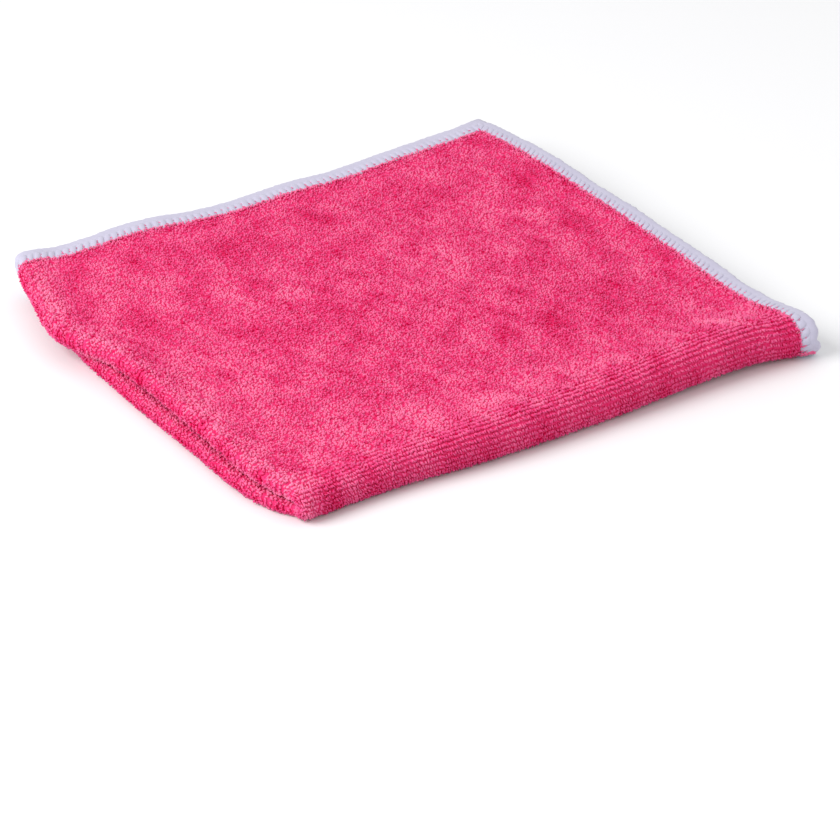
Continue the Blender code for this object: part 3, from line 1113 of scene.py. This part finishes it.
def fibres_on_edge(at, length, steps, reach, slant, fibres, rng):
    """Short fibres of pile on a raw edge's outer face, so far in from the edge."""
    steps = steps + slant * (reach - SLANT_FROM)
    places = at(steps, reach, fibres.high * HEM / 2)
    inward = normalised(at(steps, reach + 1.0, 0.0) - at(steps, reach, 0.0))
    normal = normalised(places - at(steps, reach, 0.0))
    sideways = np.cross(normal, inward)
    count = len(steps)
    angle = rng.normal(0, FIBRE_TURN / fibres.thick, count) + math.atan(slant)
    size = np.stack(
        [
            rng.uniform(*FIBRE_LENGTH, count),
            rng.uniform(*FIBRE_WIDTH, count) * fibres.thick,
            rng.uniform(*FIBRE_HEIGHT, count) * fibres.thick,
        ],
        axis=-1,
    )
    lengthwise = inward * np.cos(angle)[:, None] + sideways * np.sin(angle)[:, None]
    nap = rng.uniform(*FIBRE_NAP, count)
    setting = Setting(places, normal, lengthwise, size, rng.random(count), nap)
    kept = np.minimum(steps, length - steps) > max(OVERLOCK_WIDTH.values())
    return Setting(*(part[kept] for part in setting))


def fringe(side, half_turn, slant, rng):
    """Fibres that poke out along the overlock's inner border and in the grooves between stitches."""
    width = OVERLOCK_WIDTH[side]
    at, length = raw_edge(side, half_turn)
    steps = even_steps(length, BORDER_FIBRES)
    reach = width + rng.normal(0.0, BORDER_STRAY, len(steps))
    groups = [fibres_on_edge(at, length, steps, reach, slant, IN_BORDER, rng)]
    grooves = even_steps(length, STITCH_PITCH)
    grooves = (grooves[1:] + grooves[:-1]) / 2
    for near, far in GROOVE_FIBRES:
        steps = grooves[rng.random(len(grooves)) < GROOVES_FILLED]
        reach = rng.uniform(near, far, len(steps)) * width
        groups.append(fibres_on_edge(at, length, steps, reach, slant, IN_GROOVES, rng))
    return groups


def tuft(rng):
    """A wedge of pile that shows between the stitches low down on the front fold's end."""
    at, length = raw_edge("right", 90.0)
    reach = np.linspace(*TUFT_REACH, TUFT_FIBRES)
    steps = TUFT_AT + rng.uniform(-1, 1, TUFT_FIBRES) * TUFT_SPREAD * reach / TUFT_REACH[1]
    return fibres_on_edge(at, length, steps, reach, 0.0, IN_TUFT, rng)


def overlock(tree, loops, pile_look, thread_look):
    """Beds and stitches on all raw edges, and the pile's fibres that poke out between them."""
    rng = np.random.default_rng(SEED + 1)
    pieces, fibres = [], []
    for name, side, half_turn, slant in (
        ("right_outer", "right", 90.0, RIGHT_SLANT),
        ("right_inner", "right", -90.0, RIGHT_SLANT),
        ("back_upper", "back", 90.0, BACK_SLANT),
        ("back_lower", "back", -90.0, BACK_SLANT),
    ):
        seed = SEED + len(name)
        pieces.append(overlock_bed(f"overlock_{name}", side, half_turn, thread_look, seed))
        pieces.append(stitches(f"stitches_{name}", side, half_turn, slant, thread_look, rng))
        if name in ("right_outer", "back_upper"):
            fibres += fringe(side, half_turn, slant, rng)
    fibres.append(tuft(rng))
    setting = Setting(*(np.concatenate(parts) for parts in zip(*fibres)))
    pieces.append(set_on_points(tree, "pile_fringe", setting, loops, pile_look))
    return pieces


# Studio

CAMERA_AT = (-0.4819, -0.7795, 0.4768)
CAMERA_TURNS = (-32.27, 29.30, -0.93)  # azimuth, elevation and roll in degrees
CAMERA_LENS = 128.6
SENSOR = 36.0
FLOOR_SIZE = 16.0  # metres
FLOOR_GREY = (0.80, 0.80, 0.81, 1.0)
SKY_WHITE, SKY_STRENGTH = (1.0, 1.0, 1.0, 1.0), 0.8
Light = namedtuple("Light", "name place size power")  # metres and watts
LIGHTS = [Light("key", (-1.0, 0.1, 0.85), 0.8, 15.0), Light("fill", (0.5, -1.2, 1.0), 1.2, 4.5)]


def photo_camera():
    azimuth, elevation, roll = (math.radians(turn) for turn in CAMERA_TURNS)
    flat = math.cos(elevation)
    back = np.array([math.sin(azimuth) * flat, -math.cos(azimuth) * flat, math.sin(elevation)])
    level = normalised(np.cross(-back, (0, 0, 1)))
    upright = np.cross(level, -back)
    right = math.cos(roll) * level + math.sin(roll) * upright
    up = -math.sin(roll) * level + math.cos(roll) * upright
    data = bpy.data.cameras.new("camera")
    data.lens = CAMERA_LENS
    data.sensor_width = SENSOR
    data.clip_start, data.clip_end = 0.01, 50.0
    camera = linked(bpy.data.objects.new("camera", data))
    turned = Matrix(np.stack([right, up, back], axis=1).tolist())
    camera.matrix_world = Matrix.LocRotScale(Vector(CAMERA_AT), turned.to_quaternion(), None)
    bpy.context.scene.camera = camera


def area_light(name, place, size, power):
    """A square light that shines on the origin."""
    data = bpy.data.lights.new(name, "AREA")
    data.shape = "SQUARE"
    data.size = size
    data.energy = power
    light = linked(bpy.data.objects.new(name, data))
    light.location = place
    light.rotation_euler = (-Vector(place)).to_track_quat("-Z", "Y").to_euler()


def studio():
    material, nodes = new_material("studio_floor")
    finish_with(nodes, FLOOR_GREY, 0.7, None)
    far = FLOOR_SIZE / 2
    mesh = bpy.data.meshes.new("floor")
    mesh.from_pydata(
        [(-far, -far, 0), (far, -far, 0), (far, far, 0), (-far, far, 0)], [], [(0, 1, 2, 3)]
    )
    mesh.materials.append(material)
    linked(bpy.data.objects.new("floor", mesh))
    world = bpy.data.worlds.new("studio")
    world.use_nodes = True
    background = world.node_tree.nodes["Background"]
    background.inputs["Color"].default_value = SKY_WHITE
    background.inputs["Strength"].default_value = SKY_STRENGTH
    bpy.context.scene.world = world
    for light in LIGHTS:
        area_light(*light)
    bpy.context.scene.view_settings.view_transform = "Standard"


to_middle = middle_of_cloth()
pile_look, thread_look = pile_finish(), thread_finish()
ground = knitted_ground(ground_finish())
points_tree = set_on_points_tree()
loop_shapes = shape_collection("loop", [loop_mesh(k, crown) for k, crown in enumerate(CROWNS)])
pile = pile_pieces(points_tree, loop_shapes, pile_look)
edging = overlock(points_tree, loop_shapes, pile_look, thread_look)
drop(loop_shapes)
studio()
photo_camera()

for piece in [ground, *pile, *edging]:
    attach(piece, "root")
    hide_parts("cloth")
